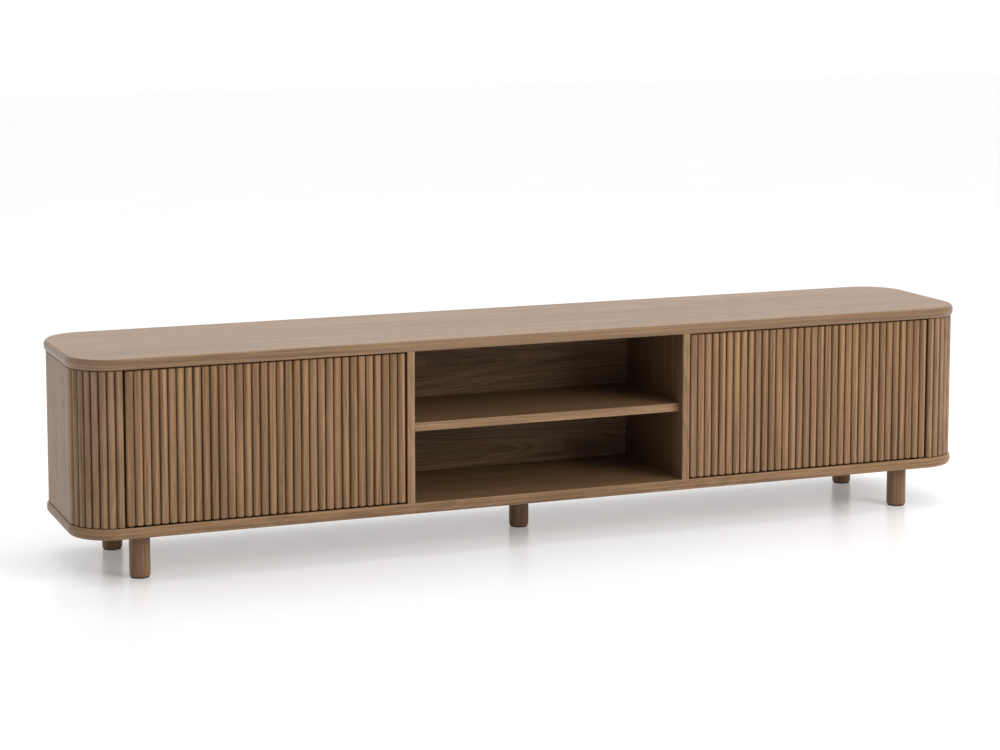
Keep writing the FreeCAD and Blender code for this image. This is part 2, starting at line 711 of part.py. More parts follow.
def latch_spring():
    """Compression spring between the plunger's shoulder and the housing's floor, drawn with the door shut."""
    slack = SPRING_WIRE + 0.05
    start = LATCH_FRONT + PLUNGER_NECK + slack
    length = LATCH[1] - LATCH_WALL - PLUNGER_NECK - 2 * slack
    coil = Part.makeHelix(length / SPRING_TURNS, length, SPRING_RADIUS)
    section = Part.Wire(Part.makeCircle(SPRING_WIRE, Vector(SPRING_RADIUS, 0, 0), Vector(0, 1, 0)))
    wire = Part.Wire(coil).makePipeShell([section], True, True)
    wire.rotate(Vector(0, 0, 0), Vector(1, 0, 0), -90)
    wire.translate(Vector(LATCH_X, start, LATCH_Z))
    return wire


# ---- all nodes ----
def nodes():
    made = {
        "top_panel": top_panel(),
        "bottom_panel": bottom_panel(),
        "left_back_panel": side_back_panel("left"),
        "right_back_panel": side_back_panel("right"),
        "centre_back_panel": centre_back_panel(),
        "centre_shelf": centre_shelf(),
        "shelf_pins": both_halves(shelf_pins(-BAY_WALL, -1) + shelf_pins(-CENTRE_WALL, 1)
                                  + shelf_pins(-COLUMN_EDGE, 1)),
        "foot_glides": group(foot_glides()),
        "leg_bolts": group(leg_bolts()),
        "leg_inserts": group(leg_inserts()),
        "cam_locks": both_halves(cam_locks()),
        "cam_bolts": both_halves(cam_bolts()),
        "dowels": both_halves(dowels()),
        "back_screws": both_halves(back_screws()),
        "cable_grommets": group(cable_grommets()),
        "pivot_plates": both_halves(pivot_plates()),
        "pivot_pins": both_halves(pivot_pins()),
        "pivot_screws": both_halves(pivot_screws()),
        "thrust_washers": both_halves([thrust_washer()]),
        "latch_screws": both_halves(latch_screws()),
    }
    leg_names = ("front_left", "rear_left", "front_right", "rear_right", "centre")
    for (x, y), place in zip(leg_places(), leg_names):
        made["leg_" + place] = leg(x, y)
    left_half = {
        "divider": divider(),
        "inner_side": inner_side(),
        "side_panel": side_panel(),
        "front_corner": front_corner(),
        "rear_corner": rear_corner(),
        "shelf": side_shelf(),
        "door_core": door_core(),
        "door_slats": group(door_slats()),
        "door_hinge_stile": hinge_stile(),
        "door_meeting_stile": meeting_stile(),
        "door_bushes": group(door_bushes()),
        "strike_plate": strike_plate(),
        "strike_screw": strike_screw(),
        "latch_housing": latch_housing(),
        "latch_plunger": latch_plunger(),
        "plunger_magnet": plunger_magnet(),
        "latch_spring": latch_spring(),
    }
    for name, shape in left_half.items():
        made["left_" + name] = shape
        made["right_" + name] = mirrored(shape)
    return made


os.makedirs("parts", exist_ok=True)
for node_name, node_shape in nodes().items():
    if not node_shape.isValid():
        print("not valid:", node_name)
    node_shape.exportStep(os.path.join("parts", node_name + ".step"))
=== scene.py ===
import math

import bpy
import numpy as np
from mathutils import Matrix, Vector


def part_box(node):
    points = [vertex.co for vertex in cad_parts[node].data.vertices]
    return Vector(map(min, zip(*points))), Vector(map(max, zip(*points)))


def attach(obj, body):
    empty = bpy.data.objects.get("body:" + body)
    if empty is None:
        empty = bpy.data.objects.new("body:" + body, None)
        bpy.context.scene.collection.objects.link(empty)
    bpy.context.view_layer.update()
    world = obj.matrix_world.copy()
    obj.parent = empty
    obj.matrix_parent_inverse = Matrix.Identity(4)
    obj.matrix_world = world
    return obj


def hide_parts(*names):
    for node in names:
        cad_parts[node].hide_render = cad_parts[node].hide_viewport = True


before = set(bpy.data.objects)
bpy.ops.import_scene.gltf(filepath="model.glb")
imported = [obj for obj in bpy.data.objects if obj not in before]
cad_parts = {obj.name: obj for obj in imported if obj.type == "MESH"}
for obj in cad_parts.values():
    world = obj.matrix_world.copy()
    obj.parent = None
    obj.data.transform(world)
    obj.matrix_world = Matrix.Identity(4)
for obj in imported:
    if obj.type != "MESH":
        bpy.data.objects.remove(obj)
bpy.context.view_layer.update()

# ---- Camera ----
# A long lens a little under standing height, in front of the left end of the cabinet and turned towards its
# middle.
CAMERA_PLACE = (-1.963, -4.861, 1.259)
CAMERA_TURN = -0.3761         # about Z, from looking along +Y
CAMERA_TILT = 0.1149          # downwards
LENS = 89.1
LENS_SHIFT = -0.15            # keeps the upright edges nearly parallel
FAR_END = 60.0
camera_data = bpy.data.cameras.new("camera")
camera_data.lens = LENS
camera_data.shift_y = LENS_SHIFT
camera_data.clip_end = FAR_END
camera = bpy.data.objects.new("camera", camera_data)
camera.location = CAMERA_PLACE
camera.rotation_euler = (math.pi / 2 - CAMERA_TILT, 0, CAMERA_TURN)
bpy.context.scene.collection.objects.link(camera)
bpy.context.scene.camera = camera


# ---- Floor and studio light ----
# A white studio floor with a slight gloss, a soft box overhead, a wide one to the front right and a weak one
# behind the left end. The white surroundings fill the shadows.
FLOOR_WHITE = (0.80, 0.80, 0.81)
FLOOR_ROUGHNESS = 0.24
FLOOR_SIZE = 30.0
FLOOR_GLOW = 0.19             # a lit table, so that its shadows stay pale
GLOSS_SPREAD = 0.04           # how far the roughness of a painted or plated finish wanders
CLOUD_SCALE = 3.0
HORIZON_LIGHT = 0.06
ZENITH_LIGHT = 0.95
LOWEST_SKY, HIGHEST_SKY = -0.1, 0.9


def painted(name, colour, roughness):
    """An even material with a fine unevenness in its gloss."""
    material = bpy.data.materials.new(name)
    material.use_nodes = True
    nodes, links = material.node_tree.nodes, material.node_tree.links
    shader = nodes["Principled BSDF"]
    shader.inputs["Base Color"].default_value = (*colour, 1)
    place = nodes.new("ShaderNodeTexCoord")
    cloud = nodes.new("ShaderNodeTexNoise")
    cloud.inputs["Scale"].default_value = CLOUD_SCALE
    links.new(place.outputs["Object"], cloud.inputs["Vector"])
    span = nodes.new("ShaderNodeMapRange")
    span.inputs["To Min"].default_value = roughness - GLOSS_SPREAD
    span.inputs["To Max"].default_value = roughness + GLOSS_SPREAD
    links.new(cloud.outputs["Fac"], span.inputs["Value"])
    links.new(span.outputs["Result"], shader.inputs["Roughness"])
    return material


floor_mesh = bpy.data.meshes.new("studio_floor")
reach = FLOOR_SIZE / 2
floor_corners = [(-reach, -reach, 0), (reach, -reach, 0), (reach, reach, 0), (-reach, reach, 0)]
floor_mesh.from_pydata(floor_corners, [], [(0, 1, 2, 3)])
floor = bpy.data.objects.new("studio_floor", floor_mesh)
bpy.context.scene.collection.objects.link(floor)
studio_white = painted("studio_white", FLOOR_WHITE, FLOOR_ROUGHNESS)
floor_shader = studio_white.node_tree.nodes["Principled BSDF"]
floor_shader.inputs["Emission Color"].default_value = (1, 1, 1, 1)
floor_shader.inputs["Emission Strength"].default_value = FLOOR_GLOW
floor_mesh.materials.append(studio_white)


def studio_surround():
    """A white surround that lights the cabinet more from above than from the horizon.

    Its strength runs smoothly with height from a low value at the horizon to a high one overhead. The
    camera and reflections see it as even white.
    """
    world = bpy.data.worlds.new("studio")
    world.use_nodes = True
    nodes, links = world.node_tree.nodes, world.node_tree.links
    sky = nodes["Background"]
    place = nodes.new("ShaderNodeTexCoord")
    split = nodes.new("ShaderNodeSeparateXYZ")
    links.new(place.outputs["Generated"], split.inputs[0])
    height = nodes.new("ShaderNodeMapRange")
    height.interpolation_type = "SMOOTHSTEP"
    links.new(split.outputs["Z"], height.inputs["Value"])
    for label, number in (("From Min", LOWEST_SKY), ("From Max", HIGHEST_SKY),
                          ("To Min", HORIZON_LIGHT), ("To Max", ZENITH_LIGHT)):
        height.inputs[label].default_value = number
    ray = nodes.new("ShaderNodeLightPath")
    seen = nodes.new("ShaderNodeMix")
    direct = nodes.new("ShaderNodeMath")
    direct.operation = "MAXIMUM"
    links.new(ray.outputs["Is Camera Ray"], direct.inputs[0])
    links.new(ray.outputs["Is Glossy Ray"], direct.inputs[1])
    links.new(direct.outputs[0], seen.inputs[0])
    links.new(height.outputs["Result"], seen.inputs[2])
    seen.inputs[3].default_value = 1.0
    links.new(seen.outputs[0], sky.inputs["Strength"])
    sky.inputs["Color"].default_value = (1, 1, 1, 1)
    return world


bpy.context.scene.world = studio_surround()
bpy.context.scene.view_settings.view_transform = "Standard"


def soft_box(name, place, aim, size, power):
    """A rectangular lamp at place that faces aim, kept out of reflections so that no face burns out."""
    data = bpy.data.lights.new(name, "AREA")
    data.shape = "RECTANGLE"
    data.size, data.size_y = size
    data.energy = power
    lamp = bpy.data.objects.new(name, data)
    lamp.visible_glossy = False
    lamp.location = place
    lamp.rotation_euler = (Vector(aim) - Vector(place)).to_track_quat("-Z", "Y").to_euler()
    bpy.context.scene.collection.objects.link(lamp)


soft_box("overhead_box", (0.2, 0.3, 3.6), (0, 0, 0), (5.0, 3.0), 55)
soft_box("front_right_box", (3.7, -4.7, 3.0), (0, 0, 0.2), (3.4, 3.4), 285)
soft_box("left_box", (-5.0, 1.9, 1.4), (-1.0, 0, 0.2), (1.6, 1.6), 16)


# ---- Top panel ----
# One long veneered board, 22 mm thick, grain along its length. Its rim is solid oak bent round the four
# corners, arched above and below with crisp edges, and stands 4 mm outside the body.
PANEL_CORNER = 0.090
RIM_ARC = 0.0135
RIM_OUTER = 0.0105            # height of the arc towards the board's outer face
RIM_INNER = 0.009             # height of the arc towards the body
CRISP_EDGE = 0.0004           # taken off the height of each crisp edge
EDGE_RUN = 0.0006             # and off its width
FLAT_RUN = 0.001              # an extra row or point this far in keeps the flats flat in the shading
MITRE_LIMIT = 0.4
RIM_SHADE = -0.12             # the solid rim takes more stain than the veneer
RIM_CUT = 0.3                 # and its wood comes from this much deeper in the log
OAK_LIGHT = (0.300, 0.173, 0.085)
OAK_DARK = (0.150, 0.082, 0.037)
OAK_PORE = (0.050, 0.027, 0.014)
WORN_OAK = (0.42, 0.29, 0.19, 1)
UNSHADED_LIPPING_TINT = (1.75, 1.85, 2.0, 1)
GROOVE_PAINTED_SHADE = 0.46           # share of light taken off by painted shade at a groove's bottom
LEAF_WIDTH = 0.21             # the pith repeats at twice this across, as veneer leaves laid side by side
PITH_PLACE = 0.10
PITH_DEPTH = 0.07             # how far below the face the pith goes before it comes back
DEPTH_SHARE = 0.6
WARP_REACH = 0.045            # how far the grain wanders sideways and in depth
SWAY_REACH = 0.020
SEED_STEP = (3.7, 1.9, 0.41)  # how far one unit of seed moves the cut in the log
PORE_ROUGHNESS = 0.16
FIBRE_ROUGHNESS = (0.37, 0.47)
FIBRE_HEIGHT = 0.35           # height of the fibres for pores of depth 1
RING_SCALE = 150.0
BUMP_STRENGTH = 0.35
BUMP_DEPTH = 0.0004
SHARP_EDGE = math.radians(38)


def arched_rim(low, high, tall_low, tall_high, steps=9):
    """Rows (inset, z) of an arched rim from the underside's flat to the top's flat.

    At a height h above or below the rim's flat band, the inset is R - sqrt(R squared - h squared). The
    crisp edges are taken off by a hair, and a row 1 mm further in keeps the flat faces flat in the shading.
    """
    below = np.linspace(-tall_low + CRISP_EDGE, 0, steps)
    above = np.linspace(0, tall_high - CRISP_EDGE, steps)
    heights = np.concatenate([below, above])
    z = np.concatenate([low + tall_low + below, high - tall_high + above])
    rows = np.stack([RIM_ARC - np.sqrt(RIM_ARC ** 2 - heights ** 2), z], 1)
    foot, head = rows[0, 0] + EDGE_RUN, rows[-1, 0] + EDGE_RUN
    first, last = [[foot + FLAT_RUN, low], [foot, low]], [[head, high], [head + FLAT_RUN, high]]
    return np.concatenate([first, rows, last])


def loop_normals(loop):
    """Outward unit normals of a closed plan outline that runs anticlockwise, mitred at its points.

    Each edge's normal is its direction turned right. A point takes the sum of its two edges' normals,
    divided by 1 + their dot product, so that insetting keeps every edge parallel. MITRE_LIMIT bounds the
    divisor at sharp corners.
    """
    edge = np.roll(loop, -1, 0) - loop
    edge /= np.linalg.norm(edge, axis=1)[:, None]
    normal = np.stack([edge[:, 1], -edge[:, 0]], 1)
    before = np.roll(normal, 1, 0)
    dot = np.sum(normal * before, 1)[:, None]
    return (normal + before) / np.maximum(1 + dot, MITRE_LIMIT)


def carried(front, back, profile):
    """The outline of a front and a back line, carried up through rows of (inset, z).

    Each point of a row is the outline's point less inset times its outward normal, at height z.
    """
    loop = np.concatenate([front, back[::-1]])
    area = np.sum(loop[:, 0] * np.roll(loop[:, 1], -1) - loop[:, 1] * np.roll(loop[:, 0], -1))
    normal = loop_normals(loop) * (1 if area > 0 else -1)
    rows = np.zeros((len(profile), len(loop), 3))
    rows[:, :, :2] = loop - profile[:, 0, None, None] * normal
    rows[:, :, 2] = profile[:, 1, None]
    return rows


def strip_solid(name, rows, along, material, offset=(0, 0, 0), tone=0.0, cap_tone=None, painted_groove_shade=None):
    """A closed solid from rows of one outline, each row (points, 3), from the underside to the top.

    Row r's point i joins row r + 1's point i, and each cap is a strip of quads from point i to the point
    opposite it. The attribute "grain" holds places along the grain, across it and in depth: for upright
    grain (height, run along the outline), for level grain the run on the rim and (x, y) on the caps.
    "rim" is 1 at the crisp edges, "tone" is this piece's own shade, with cap_tone on its two caps, which on
    the bottom board is painted shade, and "painted_groove_shade" is painted shade by how deep in a groove
    each point of the outline lies, 1 at its bottom and 2 inside a gap.
    """
    count = rows.shape[1]
    loop = rows[len(rows) // 2, :, :2]
    turned = np.sum(loop[:, 0] * np.roll(loop[:, 1], -1) - loop[:, 1] * np.roll(loop[:, 0], -1)) < 0
    index = np.arange(len(rows) * count).reshape(len(rows), count)
    ahead = np.roll(index, -1, 1)
    walls = np.stack([index[:-1], ahead[:-1], ahead[1:], index[1:]], -1).reshape(-1, 4)
    i = np.arange(count // 2 - 1)
    j = count - 1 - i
    under = index[0][np.stack([i, j, j - 1, i + 1], -1)]
    above = index[-1][np.stack([i, i + 1, j - 1, j], -1)]

    step = np.linalg.norm(np.roll(loop, -1, 0) - loop, axis=1)
    run = np.concatenate([[0], np.cumsum(step)])
    rise = np.linalg.norm(np.diff(rows, axis=0), axis=2).mean(1)
    lift = np.concatenate([[0], np.cumsum(rise)])
    here, there = run[None, :-1], run[None, 1:]
    low, high = lift[:-1, None], lift[1:, None]
    corners = [(here, low), (there, low), (there, high), (here, high)]
    spread = [np.stack(np.broadcast_arrays(a, b), -1) for a, b in corners]
    wall_grain = np.stack(spread, -2).reshape(-1, 4, 2)
    if turned:
        walls, under, above, wall_grain = walls[:, ::-1], under[:, ::-1], above[:, ::-1], wall_grain[:, ::-1]
    flat = rows.reshape(-1, 3)
    caps = np.concatenate([under, above])
    cap_grain = flat[caps][..., :2]
    nothing = np.zeros_like(wall_grain[..., :1])
    if along == "upright":
        wall_part = np.concatenate([wall_grain[..., ::-1], nothing], -1)
        cap_part = np.concatenate([np.zeros_like(cap_grain[..., :1]), cap_grain], -1)
    else:
        wall_part = np.concatenate([wall_grain, nothing + RIM_CUT], -1)
        cap_part = np.concatenate([cap_grain, np.zeros_like(cap_grain[..., :1])], -1)
    grain = np.concatenate([wall_part, cap_part]) + np.asarray(offset)
    edge_row = np.zeros(len(rows))
    edge_row[[1, 2, -3, -2]] = 1

    mesh = bpy.data.meshes.new(name)
    mesh.from_pydata(flat.tolist(), [], np.concatenate([walls, under, above]).tolist())
    add_attribute(mesh, "grain", "FLOAT_VECTOR", "CORNER", "vector", grain)
    add_attribute(mesh, "rim", "FLOAT", "POINT", "value", np.repeat(edge_row, count))
    shade = np.full(len(rows), tone)
    shade[[0, -1]] = tone if cap_tone is None else cap_tone
    add_attribute(mesh, "tone", "FLOAT", "POINT", "value", np.repeat(shade, count))
    depth = np.zeros(count) if painted_groove_shade is None else painted_groove_shade
    add_attribute(mesh, "painted_groove_shade", "FLOAT", "POINT", "value", np.tile(depth, len(rows)))
    return finish_piece(name, mesh, material)


def add_attribute(mesh, name, kind, domain, field, values):
    """Stores an array on the mesh for its material to read."""
    attribute = mesh.attributes.new(name, kind, domain)
    attribute.data.foreach_set(field, np.asarray(values, np.float32).ravel())


def finish_piece(name, mesh, material):
    """Smooth shading broken at sharp edges, and an object at the origin."""
    mesh.polygons.foreach_set("use_smooth", np.ones(len(mesh.polygons), bool))
    mesh.set_sharp_from_angle(angle=SHARP_EDGE)
    mesh.materials.append(material)
    piece = bpy.data.objects.new(name, mesh)
    bpy.context.scene.collection.objects.link(piece)
    return piece


def new_group(name, inputs, outputs):
    """An empty shader node group with these (socket kind, name, default) inputs and (kind, name) outputs."""
    group = bpy.data.node_groups.new(name, "ShaderNodeTree")
    for kind, label, default in inputs:
        socket = group.interface.new_socket(label, in_out="INPUT", socket_type="NodeSocket" + kind)
        if default is not None:
            socket.default_value = default
    for kind, label in outputs:
        group.interface.new_socket(label, in_out="OUTPUT", socket_type="NodeSocket" + kind)
    return group, group.nodes.new("NodeGroupInput").outputs, group.nodes.new("NodeGroupOutput").inputs


def math_node(nodes, links, operation, first, second=None, clamp=False):
    """One operation on numbers or sockets."""
    node = nodes.new("ShaderNodeMath")
    node.operation = operation
    node.use_clamp = clamp
    for socket, value in zip(node.inputs, (first, second)):
        if value is None:
            continue
        if isinstance(value, (int, float)):
            socket.default_value = value
        else:
            links.new(value, socket)
    return node.outputs[0]


def noise_node(nodes, links, place, stretch, detail, rough):
    """3D noise of a grain vector, where stretch is the scale along, across and in depth."""
    size = nodes.new("ShaderNodeVectorMath")
    size.operation = "MULTIPLY"
    size.inputs[1].default_value = stretch
    links.new(place, size.inputs[0])
    noise = nodes.new("ShaderNodeTexNoise")
    noise.inputs["Scale"].default_value = 1.0
    noise.inputs["Detail"].default_value = detail
    noise.inputs["Roughness"].default_value = rough
    links.new(size.outputs[0], noise.inputs["Vector"])
    return noise.outputs["Fac"]


def range_node(nodes, links, value, low, high, to_low=0.0, to_high=1.0, smooth=True):
    """A value from low to high, brought to the span from to_low to to_high and held inside it."""
    node = nodes.new("ShaderNodeMapRange")
    node.interpolation_type = "SMOOTHSTEP" if smooth else "LINEAR"
    links.new(value, node.inputs["Value"])
    for label, number in (("From Min", low), ("From Max", high), ("To Min", to_low), ("To Max", to_high)):
        node.inputs[label].default_value = number
    return node.outputs["Result"]


def mix_colour(nodes, links, blend, amount, first, second):
    """The first colour with the second blended over it by amount."""
    node = nodes.new("ShaderNodeMix")
    node.data_type = "RGBA"
    node.blend_type = blend
    for socket, value in ((node.inputs[0], amount), (node.inputs[6], first), (node.inputs[7], second)):
        if isinstance(value, (int, float, tuple)):
            socket.default_value = value
        else:
            links.new(value, socket)
    return node.outputs[2]


def oak_figure_group():
    """Stained oak: growth rings cut at a slant, fibre streaks, broad tone and short dark pores.

    The rings are a 1D noise of the distance from a leaning pith: the square root of across squared plus
    (depth + lean * along) squared, with both warped by a slow noise along the grain. The scales of the other
    noises are per metre along the grain, across it and in depth.
    """
    group, inside, out = new_group("stained_oak", [
        ("Vector", "Grain", None), ("Float", "Seed", 0.0), ("Float", "Figure", 0.5),
        ("Float", "Streaks", 0.5), ("Float", "Pores", 0.5), ("Float", "Lean", 0.055),
        ("Color", "Light wood", (0.3, 0.2, 0.13, 1)),
        ("Color", "Dark wood", (0.18, 0.11, 0.06, 1)), ("Color", "Pore stain", (0.06, 0.035, 0.02, 1)),
    ], [("Color", "Color"), ("Float", "Roughness"), ("Float", "Height")])
    nodes, links = group.nodes, group.links
    shift = nodes.new("ShaderNodeVectorMath")
    shift.operation = "MULTIPLY_ADD"
    seed_vector = nodes.new("ShaderNodeCombineXYZ")
    for axis, step in zip("XYZ", SEED_STEP):
        links.new(math_node(nodes, links, "MULTIPLY", inside["Seed"], step), seed_vector.inputs[axis])
    shift.inputs[1].default_value = (1, 1, 1)
    links.new(inside["Grain"], shift.inputs[0])
    links.new(seed_vector.outputs[0], shift.inputs[2])
    place = shift.outputs[0]

    warp = noise_node(nodes, links, place, (1.3, 7, 7), 2.0, 0.5)
    sway = noise_node(nodes, links, place, (2.6, 14, 14), 3.0, 0.5)
    split = nodes.new("ShaderNodeSeparateXYZ")
    links.new(place, split.inputs[0])
    along, across, depth = split.outputs
    warped = math_node(nodes, links, "ADD", across,
                       range_node(nodes, links, warp, 0, 1, -WARP_REACH, WARP_REACH, smooth=False))
    leaf = math_node(nodes, links, "PINGPONG", warped, LEAF_WIDTH)
    centred = math_node(nodes, links, "SUBTRACT", leaf, PITH_PLACE)
    slant = math_node(nodes, links, "ADD", math_node(nodes, links, "MULTIPLY", along, inside["Lean"]),
                      range_node(nodes, links, sway, 0, 1, -SWAY_REACH, SWAY_REACH, smooth=False))
    deep = math_node(nodes, links, "ADD", slant, math_node(nodes, links, "MULTIPLY", depth, DEPTH_SHARE))
    bent = math_node(nodes, links, "PINGPONG", deep, PITH_DEPTH)
    squares = [math_node(nodes, links, "POWER", part, 2.0) for part in (centred, bent)]
    radius = math_node(nodes, links, "SQRT", math_node(nodes, links, "ADD", *squares))
    rings = nodes.new("ShaderNodeTexNoise")
    rings.noise_dimensions = "1D"
    rings.inputs["Scale"].default_value = RING_SCALE
    rings.inputs["Detail"].default_value = 3.0
    rings.inputs["Roughness"].default_value = 0.65
    links.new(radius, rings.inputs["W"])
    ring = range_node(nodes, links, rings.outputs["Fac"], 0.36, 0.66)

    broad = noise_node(nodes, links, place, (0.7, 9, 9), 3.0, 0.55)
    band = noise_node(nodes, links, place, (1.1, 60, 60), 4.0, 0.6)
    thread = noise_node(nodes, links, place, (2.4, 210, 210), 3.0, 0.6)
    fibre = noise_node(nodes, links, place, (6, 520, 520), 5.0, 0.65)
    pore_noise = noise_node(nodes, links, place, (55, 1500, 1500), 2.0, 0.5)

    # share of light wood at a point
    off_middle = math_node(nodes, links, "SUBTRACT", ring, 0.5)
    tone = math_node(nodes, links, "MULTIPLY", off_middle, inside["Figure"])
    fine = math_node(nodes, links, "ADD", range_node(nodes, links, thread, 0.3, 0.7, -0.6, 0.6),
                     range_node(nodes, links, fibre, 0.3, 0.7, -0.5, 0.5))
    every = math_node(nodes, links, "ADD", range_node(nodes, links, band, 0.3, 0.7, -0.3, 0.3), fine)
    streak = math_node(nodes, links, "MULTIPLY", every, inside["Streaks"])
    wide = range_node(nodes, links, broad, 0.25, 0.75, -0.22, 0.22)
    share = math_node(nodes, links, "ADD", math_node(nodes, links, "ADD", tone, streak),
                      math_node(nodes, links, "ADD", wide, 0.5), clamp=True)
    wood = mix_colour(nodes, links, "MIX", share, inside["Dark wood"], inside["Light wood"])
    early = math_node(nodes, links, "SUBTRACT", 1.15, ring, clamp=True)
    pore = math_node(nodes, links, "MULTIPLY", range_node(nodes, links, pore_noise, 0.56, 0.68), early)
    stain = math_node(nodes, links, "MULTIPLY", pore, inside["Pores"])
    links.new(mix_colour(nodes, links, "MIX", stain, wood, inside["Pore stain"]), out["Color"])
    links.new(math_node(nodes, links, "ADD", math_node(nodes, links, "MULTIPLY", pore, PORE_ROUGHNESS),
                        range_node(nodes, links, fibre, 0.2, 0.8, *FIBRE_ROUGHNESS)), out["Roughness"])
    ridge = math_node(nodes, links, "MULTIPLY", fibre, FIBRE_HEIGHT)
    links.new(math_node(nodes, links, "SUBTRACT", ridge, pore), out["Height"])
    return group


OAK_FIGURE = oak_figure_group()


def oak(name, reads, seed, figure, streaks, pores, light=OAK_LIGHT, dark=OAK_DARK, lacquer=1.38, gloss=1.0,
        lipping=None, lean=0.055):
    """Satin-lacquered stained oak.

    reads is "grain" for a piece with the grain attribute, or the order of object axes that are along the
    grain, across it and in depth, such as "ZYX" for an upright board that faces X. seed picks the place in
    the log, and figure, streaks and pores say how strong the rings, the streaks and the pores are. lacquer
    is the finish's refractive index, and gloss multiplies the roughness. lipping is the Y up to which a
    board's front edge, a strip of solid oak, is lightened out of the painted shade of the inside colours.
    lean is the slant of the grain to the cut.
    """
    material = bpy.data.materials.new(name)
    material.use_nodes = True
    nodes, links = material.node_tree.nodes, material.node_tree.links
    shader = nodes["Principled BSDF"]
    if reads == "grain":
        source = nodes.new("ShaderNodeAttribute")
        source.attribute_name = "grain"
        place = source.outputs["Vector"]
    else:
        source = nodes.new("ShaderNodeTexCoord")
        split = nodes.new("ShaderNodeSeparateXYZ")
        links.new(source.outputs["Object"], split.inputs[0])
        joined = nodes.new("ShaderNodeCombineXYZ")
        for target, axis in zip("XYZ", reads):
            links.new(split.outputs[axis], joined.inputs[target])
        place = joined.outputs[0]
    figure_node = nodes.new("ShaderNodeGroup")
    figure_node.node_tree = OAK_FIGURE
    links.new(place, figure_node.inputs["Grain"])
    for label, number in (("Seed", seed), ("Figure", figure), ("Streaks", streaks), ("Pores", pores),
                          ("Lean", lean)):
        figure_node.inputs[label].default_value = number
    for label, colour in (("Light wood", light), ("Dark wood", dark), ("Pore stain", OAK_PORE)):
        figure_node.inputs[label].default_value = (*colour, 1)
    colour = figure_node.outputs["Color"]
    if reads == "grain":
        # tone: each piece's own shade, with painted shade on the bottom board's two faces.
        tone = nodes.new("ShaderNodeAttribute")
        tone.attribute_name = "tone"
        shade = nodes.new("ShaderNodeHueSaturation")
        links.new(math_node(nodes, links, "ADD", tone.outputs["Fac"], 1.0), shade.inputs["Value"])
        links.new(colour, shade.inputs["Color"])
        rim = nodes.new("ShaderNodeAttribute")
        rim.attribute_name = "rim"
        patchy = noise_node(nodes, links, place, (12, 40, 40), 3.0, 0.6)
        rubbed = range_node(nodes, links, patchy, 0.3, 0.7, 0.08, 0.30)
        worn = math_node(nodes, links, "MULTIPLY", rim.outputs["Fac"], rubbed)
        colour = mix_colour(nodes, links, "MIX", worn, shade.outputs[0], WORN_OAK)
        # Painted shade: darker in the grooves between reeds and on the faces inside the door gaps, where
        # shade falls.
        painted_groove_shade = nodes.new("ShaderNodeAttribute")
        painted_groove_shade.attribute_name = "painted_groove_shade"
        kept = range_node(nodes, links, painted_groove_shade.outputs["Fac"], 0, 2, 1.0, 1 - 2 * GROOVE_PAINTED_SHADE, smooth=False)
        colour = mix_colour(nodes, links, "MULTIPLY", 1.0, colour, kept)
    # The front edge's solid strip is lightened back out of the painted shade of the inside colours.
    if lipping is not None:
        strip = math_node(nodes, links, "LESS_THAN", split.outputs["Y"], lipping)
        lightened = mix_colour(nodes, links, "MULTIPLY", 1.0, colour, UNSHADED_LIPPING_TINT)
        colour = mix_colour(nodes, links, "MIX", strip, colour, lightened)
    links.new(colour, shader.inputs["Base Color"])
    roughness = math_node(nodes, links, "MULTIPLY", figure_node.outputs["Roughness"], gloss)
    links.new(roughness, shader.inputs["Roughness"])
    bump = nodes.new("ShaderNodeBump")
    bump.inputs["Strength"].default_value = BUMP_STRENGTH
    bump.inputs["Distance"].default_value = BUMP_DEPTH
    links.new(figure_node.outputs["Height"], bump.inputs["Height"])
    links.new(bump.outputs[0], shader.inputs["Normal"])
    shader.inputs["IOR"].default_value = lacquer
    return material


def rounded_outline(low, high, corner, steps=14):
    """Front and back lines of a rectangle with round corners, from the left end's middle to the right's.

    The left front quarter is the corner's radius less radius times the cosine and sine of a quarter turn's
    angles, and the others are its mirror images.
    """
    angle = np.linspace(0, math.pi / 2, steps)
    arc = np.stack([corner * (1 - np.cos(angle)), corner * (1 - np.sin(angle))], 1)   # left, then front
    start = [[0, (high[1] - low[1]) / 2], [0, corner + FLAT_RUN]]
    left = np.concatenate([start, arc, [[corner + FLAT_RUN, 0]]])
    width = high[0] - low[0]
    front = np.concatenate([left, np.stack([width - left[::-1, 0], left[::-1, 1]], 1)])
    front += np.array(low[:2])
    back = front.copy()
    back[:, 1] = low[1] + high[1] - front[:, 1]
    # the end points lie on both lines, so the back line starts a hair further round
    back[0, 1] += FLAT_RUN
    back[-1, 1] += FLAT_RUN
    return front, back


TOP_OAK = oak("oak_top_veneer", "grain", 1.0, 0.30, 0.55, 0.35, lacquer=1.5, gloss=0.85)
low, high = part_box("top_panel")
front, back = rounded_outline(low, high, PANEL_CORNER)
rows = carried(front, back, arched_rim(low.z, high.z, RIM_INNER, RIM_OUTER))
top = strip_solid("top_board", rows, "level", TOP_OAK, tone=RIM_SHADE, cap_tone=0.0)
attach(top, "carcass")
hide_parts("top_panel")

# ---- Bottom panel ----
# The same board upside down, with its higher arc below. It carries the body, and the legs are bolted up into
# it. Its two faces are darkened with painted shade, for the shade under the cabinet and inside the bays.
BOTTOM_RIM_SHADE = -0.10
BOTTOM_FACE_PAINTED_SHADE = -0.35
BOTTOM_OAK = oak("oak_bottom_veneer", "grain", 3.0, 0.30, 0.6, 0.4)
low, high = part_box("bottom_panel")
front, back = rounded_outline(low, high, PANEL_CORNER)
rows = carried(front, back, arched_rim(low.z, high.z, RIM_OUTER, RIM_INNER))
bottom = strip_solid("bottom_board", rows, "level", BOTTOM_OAK, (0.7, 0.9, 0.2), BOTTOM_RIM_SHADE,
                     BOTTOM_FACE_PAINTED_SHADE)
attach(bottom, "carcass")
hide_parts("bottom_panel")

